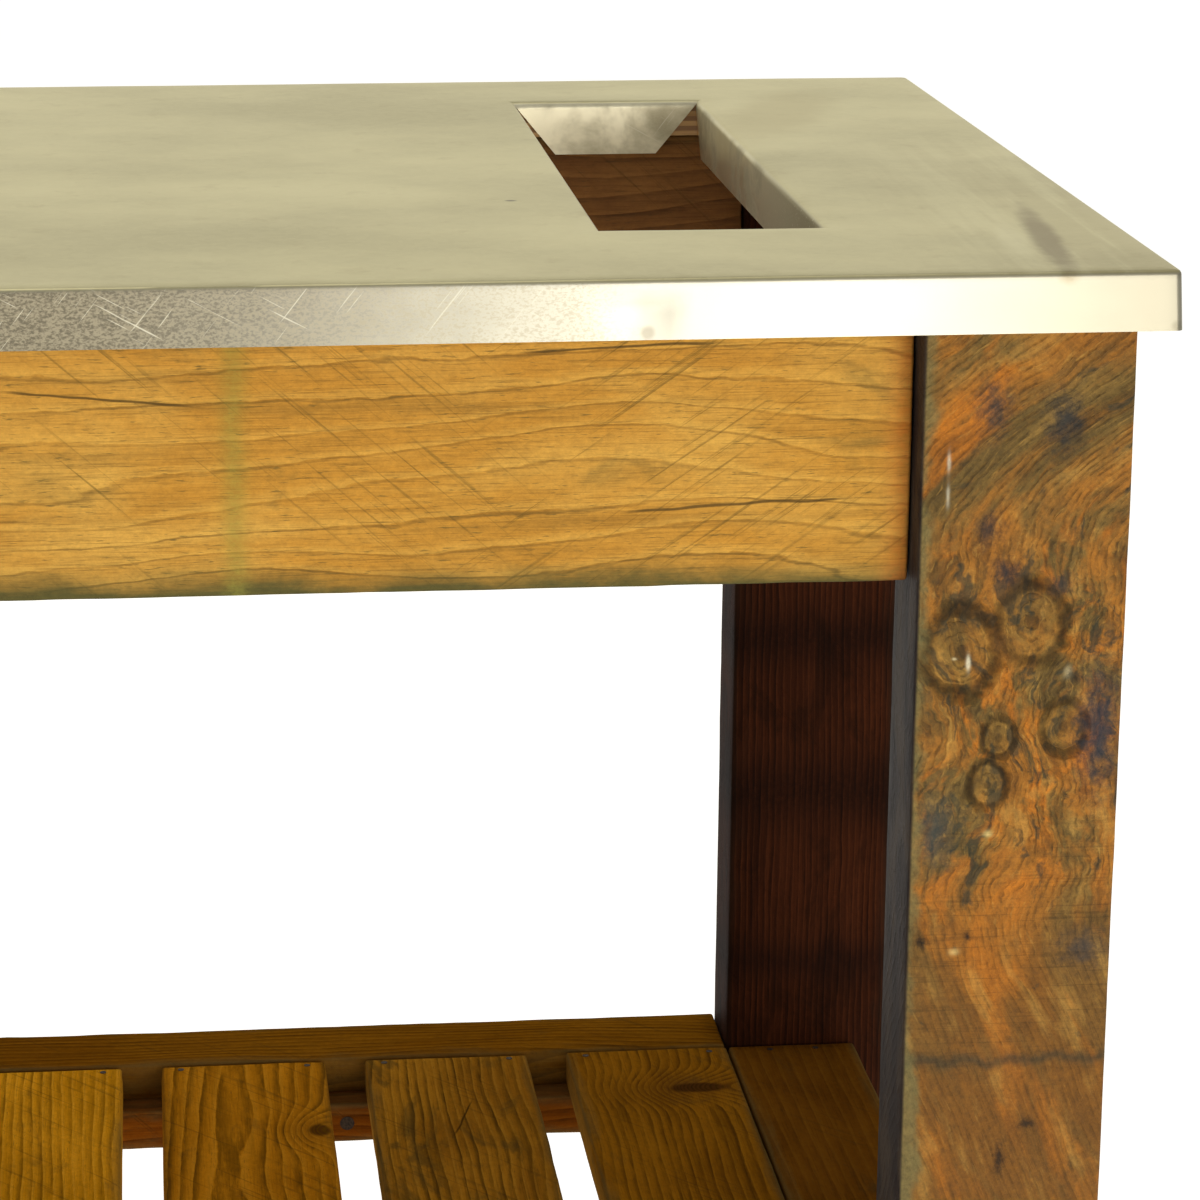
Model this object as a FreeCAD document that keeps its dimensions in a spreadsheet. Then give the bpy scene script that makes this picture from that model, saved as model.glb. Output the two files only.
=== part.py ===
import FreeCAD, Part
import math
import os
import re
import Sketcher

# A garden potting bench: a timber frame with a slatted shelf, and a plywood deck wrapped in one
# folded sheet of galvanised steel with a soil slot cut near its right-hand end.
# Millimetres, +Z up, +X along the bench, the front at -Y; the origin is on the ground, mid bench.

sizes = {
    "bench_length": 1200,
    "bench_depth": 560,
    "bench_height": 880,
    "sheet_gauge": 1,
    "lip_depth": 25,
    "deck_thickness": 18,
    "deck_clearance": 0.5,
    "slot_width": 95,
    "slot_side_clearance": 64.5,
    "slot_back_clearance": 6,
    "slot_front_clearance": 36,
    "tab_depth": 28,
    "tab_corner_cut": 25,
    "leg_width": 90,
    "leg_depth": 48,
    "side_overhang": 12,
    "front_overhang": 22,
    "apron_height": 120,
    "apron_thickness": 38,
    "apron_setback": 15,
    "shelf_height": 342,
    "rail_height": 45,
    "cleat_depth": 20,
    "cleat_height": 24,
    "bearer_width": 45,
    "bearer_height": 70,
    "bearer_inset": 14,
    "slat_width": 92,
    "slat_thickness": 19,
    "slat_least_gap": 18,
    "slat_end_clearance": 2,
    "end_board_width": 72,
    "end_board_clearance": 0.5,
    "arris_radius": 1.5,
    "dowel_diameter": 10,
    "dowel_length": 60,
    "dowel_spread": 22,
    "apron_dowel_spread": 60,
    "bearer_dowel_drop": 30,
    "nail_diameter": 2.4,
    "nail_head_diameter": 3.4,
    "nail_head_height": 1.6,
    "nail_length": 38,
    "nail_side_distance": 11,
    "nail_end_distance": 7,
    "nail_spread": 26,
    "screw_diameter": 4,
    "screw_head_diameter": 8,
    "screw_head_height": 2.2,
    "deck_screw_length": 50,
    "cleat_screw_length": 42,
    "deck_screw_spacing": 190,
}

doc = FreeCAD.newDocument("potting_bench")
sheet = doc.addObject("Spreadsheet::Sheet", "Sizes")
for row, (name, value) in enumerate(sizes.items(), start=1):
    sheet.set(f"A{row}", name)
    sheet.set(f"B{row}", str(value))
    sheet.setAlias(f"B{row}", name)
doc.recompute()


def bound(text):
    """Turn size names into references to the sheet's cells."""
    return re.sub(r"[a-z][a-z_]+", lambda word: "Sizes." + word.group(), str(text))


def measure(text):
    """The number that an expression made of size names comes to now."""
    probe = re.sub(r"[a-z][a-z_]+", lambda word: str(sheet.get(word.group())), str(text))
    quantity = FreeCAD.Units.Quantity(probe)
    return quantity.Value


# Planes that several pieces share, in terms of the sizes above
leg_outer_x = "(bench_length / 2 - side_overhang)"
leg_inner_x = "(bench_length / 2 - side_overhang - leg_width)"
leg_outer_y = "(bench_depth / 2 - front_overhang)"
leg_inner_y = "(bench_depth / 2 - front_overhang - leg_depth)"
deck_top = "(bench_height - sheet_gauge)"
deck_under = "(bench_height - sheet_gauge - deck_thickness)"
long_apron_y = f"({leg_outer_y} - apron_setback - apron_thickness / 2)"
side_apron_x = f"({leg_outer_x} - apron_setback - apron_thickness / 2)"
shelf_under = "(shelf_height - slat_thickness)"
rail_middle_y = f"({leg_inner_y} + leg_depth / 2)"
bearer_middle_x = f"({leg_inner_x} + bearer_inset + bearer_width / 2)"
# The slot keeps its distances from the inner faces of the aprons, so that it opens onto clear space
slot_right = f"({side_apron_x} - apron_thickness / 2 - slot_side_clearance)"
slot_left = f"({slot_right} - slot_width)"
slot_back = f"({long_apron_y} - apron_thickness / 2 - slot_back_clearance)"
slot_front = f"(slot_front_clearance + apron_thickness / 2 - {long_apron_y})"

subparts = []


def keep(shape_object, label):
    """Name a finished sub-part, so that it is written to its own file."""
    shape_object.Label = label
    subparts.append(shape_object)
    return shape_object


def origin_plane(body, role):
    return next(plane for plane in body.Origin.OriginFeatures if plane.Role == role)


def sketch_on(body, name, role, offset="0"):
    """An empty sketch on one of the body's origin planes, moved along that plane's normal."""
    sketch = body.newObject("Sketcher::SketchObject", name)
    sketch.AttachmentSupport = [(origin_plane(body, role), "")]
    sketch.MapMode = "FlatFace"
    sketch.setExpression("AttachmentOffset.Base.z", bound(offset))
    return sketch


def draw_polygon(sketch, corners):
    """A closed outline; each corner is a pair of expressions that its two dimensions follow."""
    points = [FreeCAD.Vector(measure(u), measure(v), 0) for u, v in corners]
    count = len(points)
    for index, point in enumerate(points):
        sketch.addGeometry(Part.LineSegment(point, points[(index + 1) % count]), False)
    for index in range(count):
        sketch.addConstraint(Sketcher.Constraint("Coincident", index, 2, (index + 1) % count, 1))
    for index, (point, (u, v)) in enumerate(zip(points, corners)):
        for kind, value, text in (("DistanceX", point.x, u), ("DistanceY", point.y, v)):
            # from the sketch's origin to the line's first end
            number = sketch.addConstraint(Sketcher.Constraint(kind, -1, 1, index, 1, value))
            sketch.setExpression(f"Constraints[{number}]", bound(text))


def rectangle(left, right, low, high):
    return [(left, low), (right, low), (right, high), (left, high)]


def board(name, corner, size):
    """A sawn board with its edges eased, its lowest corner at the given place."""
    body = doc.addObject("PartDesign::Body", name)
    outline = sketch_on(body, name + "_outline", "XY_Plane")
    draw_polygon(outline, rectangle("0", size[0], "0", size[1]))
    pad = body.newObject("PartDesign::Pad", name + "_thickness")
    pad.Profile = outline
    pad.setExpression("Length", bound(size[2]))
    outline.Visibility = False
    doc.recompute()
    arris = body.newObject("PartDesign::Fillet", name + "_arris")
    arris.Base = (pad, [])
    arris.UseAllEdges = True
    arris.setExpression("Radius", bound("arris_radius"))
    for axis, place in zip("xyz", corner):
        body.setExpression(f"Placement.Base.{axis}", bound(place))
    return body


def place(shape_object, point, direction=None):
    """Put an object's origin at a point, turned so that its own Z runs along the direction."""
    if direction is not None:
        turn = FreeCAD.Rotation(FreeCAD.Vector(0, 0, 1), FreeCAD.Vector(*direction))
        shape_object.Placement = FreeCAD.Placement(FreeCAD.Vector(0, 0, 0), turn)
    for axis, where in zip("xyz", point):
        shape_object.setExpression(f"Placement.Base.{axis}", bound(where))


def dowel(name, start, direction):
    rod = doc.addObject("Part::Cylinder", name)
    rod.setExpression("Radius", bound("dowel_diameter / 2"))
    rod.setExpression("Height", bound("dowel_length"))
    place(rod, start, direction)
    return rod


def nail(name, top):
    """A lost-head nail driven straight down, its head flush with the given point."""
    shank = doc.addObject("Part::Cylinder", name + "_shank")
    shank.setExpression("Radius", bound("nail_diameter / 2"))
    shank.setExpression("Height", bound("nail_length - nail_head_height / 2"))
    place(shank, (top[0], top[1], f"{top[2]} - nail_length"))
    head = doc.addObject("Part::Cylinder", name + "_head")
    head.setExpression("Radius", bound("nail_head_diameter / 2"))
    head.setExpression("Height", bound("nail_head_height"))
    place(head, (top[0], top[1], f"{top[2]} - nail_head_height"))
    whole = doc.addObject("Part::Fuse", name)
    whole.Base = shank
    whole.Tool = head
    return whole


def screw(name, top, direction, length):
    """A countersunk screw whose flat head ends at the given point and whose shank runs along."""
    shank = doc.addObject("Part::Cylinder", name + "_shank")
    shank.setExpression("Radius", bound("screw_diameter / 2"))
    shank.setExpression("Height", bound(length))
    place(shank, top, direction)
    head = doc.addObject("Part::Cone", name + "_head")
    head.setExpression("Radius1", bound("screw_head_diameter / 2"))
    head.setExpression("Radius2", bound("screw_diameter / 2"))
    head.setExpression("Height", bound("screw_head_height"))
    place(head, top, direction)
    whole = doc.addObject("Part::Fuse", name)
    whole.Base = shank
    whole.Tool = head
    return whole


def group(label, pieces):
    """Identical fasteners as one group of separate solids."""
    compound = doc.addObject("Part::Compound", label + "_group")
    compound.Links = pieces
    return keep(compound, label)


def bored(base, label, fasteners):
    """A board with a hole for each fastener that passes through it."""
    result = base
    for number, fastener in enumerate(fasteners):
        cut = doc.addObject("Part::Cut", f"{label}_bored_{number}")
        cut.Base = result
        cut.Tool = fastener
        result = cut
    return keep(result, label)


# ---------------------------------------------------------------- slats: how many, and where
slat_count = math.floor(measure(f"(2 * {leg_inner_x} + slat_least_gap) / (slat_width + slat_least_gap)"))
slat_pitch = f"((2 * {leg_inner_x} - slat_width) / {slat_count - 1})"


def slat_left(number):
    return f"(-{leg_inner_x} + {number} * {slat_pitch})"


# ---------------------------------------------------------------- dowels
apron_middle = f"({deck_under} - apron_height / 2)"
rail_middle = "(shelf_height - rail_height / 2)"
bearer_dowel_height = f"({shelf_under} - bearer_dowel_drop)"
apron_dowels = []
rail_dowels = []
for side in (-1, 1):
    for face in (-1, 1):
        tag = f"{'left' if side < 0 else 'right'}_{'front' if face < 0 else 'back'}"
        # Half of each dowel is in the leg: these are the starts of those along X and those along Y
        from_x = f"{side} * {leg_inner_x} - dowel_length / 2"
        from_y = f"{face} * {leg_inner_y} - dowel_length / 2"
        for step in (-1, 1):
            height = f"{apron_middle} - {step} * apron_dowel_spread / 2"
            spot = (from_x, f"{face} * {long_apron_y}", height)
            apron_dowels.append(dowel(f"long_{tag}_{step}", spot, (1, 0, 0)))
            spot = (f"{side} * {side_apron_x}", from_y, height)
            apron_dowels.append(dowel(f"side_{tag}_{step}", spot, (0, 1, 0)))
            spot = (from_x, f"{face} * {rail_middle_y} + {step} * dowel_spread / 2", rail_middle)
            rail_dowels.append(dowel(f"rail_{tag}_{step}", spot, (1, 0, 0)))
            spot = (f"{side} * {bearer_middle_x} + {step} * dowel_spread / 2", from_y, bearer_dowel_height)
            rail_dowels.append(dowel(f"bearer_{tag}_{step}", spot, (0, 1, 0)))
apron_dowel_group = group("apron_dowels", apron_dowels)
rail_dowel_group = group("rail_dowels", rail_dowels)

# ---------------------------------------------------------------- shelf nails and screws
nail_row = f"({leg_inner_y} - slat_end_clearance - nail_end_distance)"
shelf_nails = []
for number in range(slat_count):
    for end in (-1, 1):
        for edge, inset in ((0, "nail_side_distance"), (1, "slat_width - nail_side_distance")):
            spot = (f"{slat_left(number)} + {inset}", f"{end} * {nail_row}", "shelf_height")
            shelf_nails.append(nail(f"nail_{number}_{'b' if end > 0 else 'f'}_{edge}", spot))
for side in (-1, 1):
    for end in (-1, 1):
        for edge in (-1, 1):
            along = f"{side} * {bearer_middle_x} + {edge} * nail_spread / 2"
            spot = (along, f"{end} * {nail_row}", "shelf_height")
            name = f"nail_{'l' if side < 0 else 'r'}_{'b' if end > 0 else 'f'}_{'o' if edge > 0 else 'i'}"
            shelf_nails.append(nail(name, spot))
shelf_nail_group = group("shelf_nails", shelf_nails)

cleat_screws = []
for gap in range(0, slat_count - 1, 2):
    along = f"{slat_left(gap)} + slat_width / 2 + {slat_pitch} / 2"
    for end in (-1, 1):
        spot = (along, f"{end} * ({leg_inner_y} - cleat_depth)", f"{shelf_under} - cleat_height / 2")
        name = f"cleat_screw_{gap}_{'b' if end > 0 else 'f'}"
        cleat_screws.append(screw(name, spot, (0, end, 0), "cleat_screw_length"))
cleat_screw_group = group("cleat_screws", cleat_screws)

# As many as fit at the spacing, a dowel's length clear of each leg
screws_along = math.floor(measure(f"2 * ({leg_inner_x} - dowel_length) / deck_screw_spacing")) + 1
screws_across = math.floor(measure(f"2 * ({leg_inner_y} - dowel_length) / deck_screw_spacing")) + 1
deck_screws = []
for face in (-1, 1):
    for number in range(screws_along):
        along = f"{number - (screws_along - 1) / 2} * deck_screw_spacing"
        spot = (along, f"{face} * {long_apron_y}", deck_top)
        name = f"deck_screw_{'b' if face > 0 else 'f'}_{number}"
        deck_screws.append(screw(name, spot, (0, 0, -1), "deck_screw_length"))
    for number in range(screws_across):
        across = f"{number - (screws_across - 1) / 2} * deck_screw_spacing"
        spot = (f"{face} * {side_apron_x}", across, deck_top)
        name = f"deck_screw_{'r' if face > 0 else 'l'}_{number}"
        deck_screws.append(screw(name, spot, (0, 0, -1), "deck_screw_length"))
deck_screw_group = group("deck_screws", deck_screws)

# ---------------------------------------------------------------- legs
for side, side_name in ((-1, "left"), (1, "right")):
    for face, face_name in ((-1, "front"), (1, "back")):
        label = f"{face_name}_{side_name}_leg"
        start_x = leg_inner_x if side > 0 else f"-{leg_outer_x}"
        start_y = leg_inner_y if face > 0 else f"-{leg_outer_y}"
        leg = board(label + "_blank", (start_x, start_y, "0"), ("leg_width", "leg_depth", deck_under))
        bored(leg, label, [apron_dowel_group, rail_dowel_group])

# ---------------------------------------------------------------- aprons
for face, face_name in ((-1, "front"), (1, "back")):
    label = f"{face_name}_apron"
    start_y = f"{face} * {long_apron_y} - apron_thickness / 2"
    size = (f"2 * {leg_inner_x}", "apron_thickness", "apron_height")
    blank = board(label + "_blank", (f"-{leg_inner_x}", start_y, f"{deck_under} - apron_height"), size)
    bored(blank, label, [apron_dowel_group, deck_screw_group])
for side, side_name in ((-1, "left"), (1, "right")):
    label = f"{side_name}_apron"
    start_x = f"{side} * {side_apron_x} - apron_thickness / 2"
    size = ("apron_thickness", f"2 * {leg_inner_y}", "apron_height")
    blank = board(label + "_blank", (start_x, f"-{leg_inner_y}", f"{deck_under} - apron_height"), size)
    bored(blank, label, [apron_dowel_group, deck_screw_group])

# ---------------------------------------------------------------- shelf frame
for face, face_name in ((-1, "front"), (1, "back")):
    label = f"{face_name}_rail"
    start_y = leg_inner_y if face > 0 else f"-{leg_outer_y}"
    size = (f"2 * {leg_inner_x}", "leg_depth", "rail_height")
    blank = board(label + "_blank", (f"-{leg_inner_x}", start_y, "shelf_height - rail_height"), size)
    bored(blank, label, [rail_dowel_group, cleat_screw_group])
    label = f"{face_name}_cleat"
    start_y = f"{leg_inner_y} - cleat_depth" if face > 0 else f"-{leg_inner_y}"
    size = (f"2 * {leg_inner_x}", "cleat_depth", "cleat_height")
    blank = board(label + "_blank", (f"-{leg_inner_x}", start_y, f"{shelf_under} - cleat_height"), size)
    bored(blank, label, [cleat_screw_group, shelf_nail_group])
for side, side_name in ((-1, "left"), (1, "right")):
    label = f"{side_name}_bearer"
    start_x = f"{side} * {bearer_middle_x} - bearer_width / 2"
    size = ("bearer_width", f"2 * {leg_inner_y}", "bearer_height")
    blank = board(label + "_blank", (start_x, f"-{leg_inner_y}", f"{shelf_under} - bearer_height"), size)
    bored(blank, label, [rail_dowel_group, shelf_nail_group])

# ---------------------------------------------------------------- shelf slats
slat_length = f"(2 * {leg_inner_y} - 2 * slat_end_clearance)"
slat_front = f"-{leg_inner_y} + slat_end_clearance"
for number in range(slat_count):
    label = f"shelf_slat_{number + 1}"
    blank = board(label + "_blank", (slat_left(number), slat_front, shelf_under),
                  ("slat_width", slat_length, "slat_thickness"))
    bored(blank, label, [shelf_nail_group])
for side, side_name in ((-1, "left"), (1, "right")):
    label = f"{side_name}_end_board"
    near = f"({leg_inner_x} + end_board_clearance)"
    start_x = near if side > 0 else f"-{near} - end_board_width"
    blank = board(label + "_blank", (start_x, slat_front, shelf_under),
                  ("end_board_width", slat_length, "slat_thickness"))
    bored(blank, label, [shelf_nail_group])

# ---------------------------------------------------------------- plywood deck
deck = doc.addObject("PartDesign::Body", "deck_panel")
deck_outline = sketch_on(deck, "deck_outline", "XY_Plane", deck_under)
deck_half_length = "(bench_length / 2 - sheet_gauge - deck_clearance)"
deck_half_depth = "(bench_depth / 2 - sheet_gauge - deck_clearance)"
draw_polygon(deck_outline, rectangle(f"-{deck_half_length}", deck_half_length,
                                     f"-{deck_half_depth}", deck_half_depth))
slot_margin = "(sheet_gauge + deck_clearance)"
deck_pad = deck.newObject("PartDesign::Pad", "deck_thickness_pad")
deck_pad.Profile = deck_outline
deck_pad.setExpression("Length", bound("deck_thickness"))
doc.recompute()
deck_slot = sketch_on(deck, "deck_slot", "XY_Plane", deck_top)
draw_polygon(deck_slot, rectangle(f"{slot_left} - {slot_margin}", f"{slot_right} + {slot_margin}",
                                  f"{slot_front} - {slot_margin}", f"{slot_back} + {slot_margin}"))
deck_pocket = deck.newObject("PartDesign::Pocket", "deck_slot_cut")
deck_pocket.Profile = deck_slot
deck_pocket.Type = "ThroughAll"
bored(deck, "plywood_deck", [deck_screw_group])

# ---------------------------------------------------------------- folded metal top
top = doc.addObject("PartDesign::Body", "top_sheet")
half_length = "bench_length / 2"
half_depth = "bench_depth / 2"
tray_outline = sketch_on(top, "tray_outline", "XY_Plane", "bench_height - lip_depth")
draw_polygon(tray_outline, rectangle(f"-{half_length}", half_length, f"-{half_depth}", half_depth))
tray = top.newObject("PartDesign::Pad", "tray")
tray.Profile = tray_outline
tray.setExpression("Length", bound("lip_depth"))
doc.recompute()
hollow_outline = sketch_on(top, "hollow_outline", "XY_Plane", "bench_height - lip_depth")
draw_polygon(hollow_outline, rectangle(f"-({half_length} - sheet_gauge)", f"{half_length} - sheet_gauge",
                                       f"-({half_depth} - sheet_gauge)", f"{half_depth} - sheet_gauge"))
hollow = top.newObject("PartDesign::Pocket", "hollow")
hollow.Profile = hollow_outline
hollow.Reversed = True
hollow.setExpression("Length", bound("lip_depth - sheet_gauge"))
doc.recompute()
slot_outline = sketch_on(top, "slot_outline", "XY_Plane", "bench_height")
draw_polygon(slot_outline, rectangle(slot_left, slot_right, slot_front, slot_back))
slot = top.newObject("PartDesign::Pocket", "soil_slot")
slot.Profile = slot_outline
slot.Type = "ThroughAll"
doc.recompute()


def add_tab(name, role, offset, start, end):
    """A flap of the sheet, its lower corners cut off, folded down at one side of the slot."""
    outline = sketch_on(top, name + "_outline", role, offset)
    draw_polygon(outline, [(start, "bench_height"), (f"{start} + tab_corner_cut", "bench_height - tab_depth"),
                           (f"{end} - tab_corner_cut", "bench_height - tab_depth"), (end, "bench_height")])
    flap = top.newObject("PartDesign::Pad", name)
    flap.Profile = outline
    flap.setExpression("Length", bound("sheet_gauge"))
    doc.recompute()


# On the XZ plane a sketch's normal is -Y, and on the YZ plane it is +X
add_tab("back_tab", "XZ_Plane", f"-({slot_back} + sheet_gauge)", slot_left, slot_right)
add_tab("front_tab", "XZ_Plane", f"-({slot_front})", slot_left, slot_right)
add_tab("right_tab", "YZ_Plane", slot_right, slot_front, slot_back)
add_tab("left_tab", "YZ_Plane", f"{slot_left} - sheet_gauge", slot_front, slot_back)
keep(top, "metal_top")

# ---------------------------------------------------------------- check and write
doc.recompute()
for thing in doc.Objects:
    if "Invalid" in thing.State or "Error" in thing.State:
        raise RuntimeError(f"{thing.Label} did not compute: {thing.State}")
for subpart in subparts:
    if subpart.Shape.isNull() or not subpart.Shape.isValid():
        raise RuntimeError(f"{subpart.Label} has no valid shape")

os.makedirs("parts", exist_ok=True)
for subpart in subparts:
    subpart.Shape.exportStep(f"parts/{subpart.Label}.step")
    box = subpart.Shape.BoundBox
    print(f"{subpart.Label}: {len(subpart.Shape.Solids)} solid(s), {subpart.Shape.Volume / 1000:.1f} cm3,"
          f" z {box.ZMin:.1f} to {box.ZMax:.1f}")
print(f"{len(subparts)} nodes")
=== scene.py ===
import bmesh
import bpy
import math
import mathutils
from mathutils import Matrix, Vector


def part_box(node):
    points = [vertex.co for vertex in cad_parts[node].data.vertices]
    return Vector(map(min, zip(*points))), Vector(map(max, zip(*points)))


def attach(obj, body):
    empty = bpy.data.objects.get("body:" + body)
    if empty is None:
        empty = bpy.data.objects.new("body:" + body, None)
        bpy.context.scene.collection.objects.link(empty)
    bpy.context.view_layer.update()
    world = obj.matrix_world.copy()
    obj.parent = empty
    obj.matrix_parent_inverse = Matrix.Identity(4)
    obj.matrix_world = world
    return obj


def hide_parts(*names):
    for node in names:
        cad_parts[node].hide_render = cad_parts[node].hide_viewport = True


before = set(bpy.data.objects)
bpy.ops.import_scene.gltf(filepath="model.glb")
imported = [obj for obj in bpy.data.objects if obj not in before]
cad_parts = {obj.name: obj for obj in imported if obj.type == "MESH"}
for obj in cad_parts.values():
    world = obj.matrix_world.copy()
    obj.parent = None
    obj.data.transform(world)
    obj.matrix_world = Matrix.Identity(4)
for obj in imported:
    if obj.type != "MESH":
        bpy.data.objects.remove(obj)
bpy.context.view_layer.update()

mm = 0.001
root = "root"            # nothing on the bench moves, so every piece rides on this body


# Small tools that the rest of the script leans on

def srgb(hexText):
    # a given colour, turned to the linear values that shaders want
    channels = [int(hexText[place:place + 2], 16) / 255 for place in (1, 3, 5)]
    return [c / 12.92 if c < 0.04045 else ((c + 0.055) / 1.055) ** 2.4 for c in channels] + [1.0]


# Nodes always go into the tree of the material that was started last
current = {}


def feed(value, socket):
    # another node's output is linked, and a plain value is set
    if isinstance(value, bpy.types.NodeSocket):
        current["tree"].links.new(value, socket)
    else:
        socket.default_value = value


def addNode(kind, settings=None, links=None):
    # a node with its settings, and with each input fed
    node = current["tree"].nodes.new("ShaderNode" + kind)
    for name, value in (settings or {}).items():
        setattr(node, name, value)
    for name, value in (links or {}).items():
        feed(value, node.inputs[name])
    return node


def calc(operation, *values, clamp=False):
    settings = {"operation": operation, "use_clamp": clamp}
    return addNode("Math", settings, dict(enumerate(values))).outputs[0]


def times(first, second):
    return calc("MULTIPLY", first, second)


def minus(first, second):
    return calc("SUBTRACT", first, second)


def scaled(value, factor, offset):
    return calc("MULTIPLY_ADD", value, factor, offset)


def vectorCalc(operation, *values):
    return addNode("VectorMath", {"operation": operation}, dict(enumerate(values))).outputs[0]


def joined(x, y, z=0.0):
    return addNode("CombineXYZ", {}, {0: x, 1: y, 2: z}).outputs[0]


def lengthOf(vector):
    return addNode("VectorMath", {"operation": "LENGTH"}, {0: vector}).outputs[1]


def spun(vector, axis, angle, centre=(0, 0, 0)):
    links = {"Vector": vector, "Center": centre, "Angle": angle}
    return addNode("VectorRotate", {"rotation_type": axis + "_AXIS"}, links).outputs[0]


def mixValue(share, first, second):
    # inputs 2 and 3 are the number pair of a Mix node
    return addNode("Mix", {"data_type": "FLOAT"}, {0: share, 2: first, 3: second}).outputs[0]


def mixColour(share, *pair):
    # inputs 6 and 7 are the colour pair of a Mix node, and output 2 is its colour
    first, second = [srgb(colour) if isinstance(colour, str) else colour for colour in pair]
    return addNode("Mix", {"data_type": "RGBA"}, {0: share, 6: first, 7: second}).outputs[2]


def tint(colour, tone, mask, strength=None):
    # the colour with some of one tone laid over it where the mask is
    share = mask if strength is None else times(mask, strength)
    return mixColour(share, colour, tone)


def band(value, start, end, low=0.0, high=1.0):
    # a smooth step from low to high as the value goes from start to end, which may lie either way round
    settings = {"interpolation_type": "SMOOTHSTEP", "clamp": True}
    return addNode("MapRange", settings, {0: value, 1: start, 2: end, 3: low, 4: high}).outputs[0]


def between(value, start, end, fade):
    # 1 from start to end, with a soft step at each
    rising = band(value, start - fade, start + fade)
    return times(rising, band(value, end + fade, end - fade))


def noise(vector, scale, detail=3.0, roughness=0.55, distortion=0.0):
    links = {"Vector": vector, "Scale": scale, "Detail": detail,
             "Roughness": roughness, "Distortion": distortion}
    return addNode("TexNoise", {}, links).outputs[0]


def stretch(vector, x, y, z):
    return vectorCalc("MULTIPLY", vector, (x, y, z))


def grainNoise(vector, along, *settings):
    # noise whose pattern is drawn out along the first axis, more so as along gets smaller
    return noise(stretch(vector, along, 1.0, 1.0), *settings)


def placeInMillimetres(middle=(0, 0, 0)):
    # the object's own coordinates, counted from a point that is given in metres
    place = addNode("TexCoord").outputs["Object"]
    return stretch(vectorCalc("SUBTRACT", place, middle), 1 / mm, 1 / mm, 1 / mm)


def newMaterial(name):
    material = bpy.data.materials.new(name)
    material.use_nodes = True
    material.node_tree.nodes.clear()
    current["tree"] = material.node_tree
    shader = addNode("BsdfPrincipled")
    addNode("OutputMaterial", {}, {"Surface": shader.outputs[0]})
    return material, shader


def dressShader(shader, colour, roughness, relief=None, bumpStrength=0.0, bumpDepth=0.0):
    feed(colour, shader.inputs["Base Color"])
    feed(roughness, shader.inputs["Roughness"])
    if relief is not None:
        links = {"Strength": bumpStrength, "Distance": bumpDepth, "Height": relief}
        bump = addNode("Bump", {}, links)
        feed(bump.outputs[0], shader.inputs["Normal"])


def pickNone():
    bpy.ops.object.select_all(action="DESELECT")


def pickOnly(piece):
    pickNone()
    piece.select_set(True)
    bpy.context.view_layer.objects.active = piece


def selectOnly(piece, kind, test):
    # in edit mode: leaves selected just the edges, or the faces, that pass the test
    bpy.ops.mesh.select_mode(type=kind)
    bpy.ops.mesh.select_all(action="DESELECT")
    work = bmesh.from_edit_mesh(piece.data)
    for part in work.edges if kind == "EDGE" else work.faces:
        if test(part):
            part.select = True
    work.select_flush_mode()
    bmesh.update_edit_mesh(piece.data)


def faceOutwards():
    bpy.ops.mesh.select_all(action="SELECT")
    bpy.ops.mesh.normals_make_consistent(inside=False)


def flatGrid(name, columns, rows, size, level):
    pickNone()
    bpy.ops.mesh.primitive_grid_add(
        x_subdivisions=columns, y_subdivisions=rows, size=1, location=(0, 0, level))
    piece = bpy.context.object
    piece.name = name
    piece.scale = (*size, 1)
    bpy.ops.object.transform_apply(location=True, rotation=True, scale=True)
    return piece


def applyAll(piece):
    pickOnly(piece)
    for modifier in list(piece.modifiers):
        bpy.ops.object.modifier_apply(modifier=modifier.name)


def finishPiece(piece, node, material, smoothAngle=35):
    pickOnly(piece)
    bpy.ops.object.transform_apply(location=True, rotation=True, scale=True)
    bpy.ops.object.shade_smooth_by_angle(angle=math.radians(smoothAngle))
    piece.data.materials.clear()
    piece.data.materials.append(material)
    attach(piece, root)
    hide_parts(node)


print("stage: camera, lights and floor")

cameraLook = {"place": (0.184, -1.714, 1.165), "turnRight": 5.32, "tiltDown": 14.27, "roll": 0.12,
              "lens": 110.9, "sensor": 36, "shift": (0.092, -0.1)}
cameraData = bpy.data.cameras.new("studioCamera")
camera = bpy.data.objects.new("studioCamera", cameraData)
bpy.context.scene.collection.objects.link(camera)
bpy.context.scene.camera = camera
cameraData.lens = cameraLook["lens"]
cameraData.sensor_width = cameraLook["sensor"]
cameraData.shift_x, cameraData.shift_y = cameraLook["shift"]
turn = mathutils.Matrix.Rotation(-math.radians(cameraLook["turnRight"]), 4, "Z")
tilt = mathutils.Matrix.Rotation(math.radians(90 - cameraLook["tiltDown"]), 4, "X")
roll = mathutils.Matrix.Rotation(math.radians(cameraLook["roll"]), 4, "Z")
camera.matrix_world = mathutils.Matrix.Translation(cameraLook["place"]) @ turn @ tilt @ roll

bpy.context.scene.view_settings.view_transform = "Standard"

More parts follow.
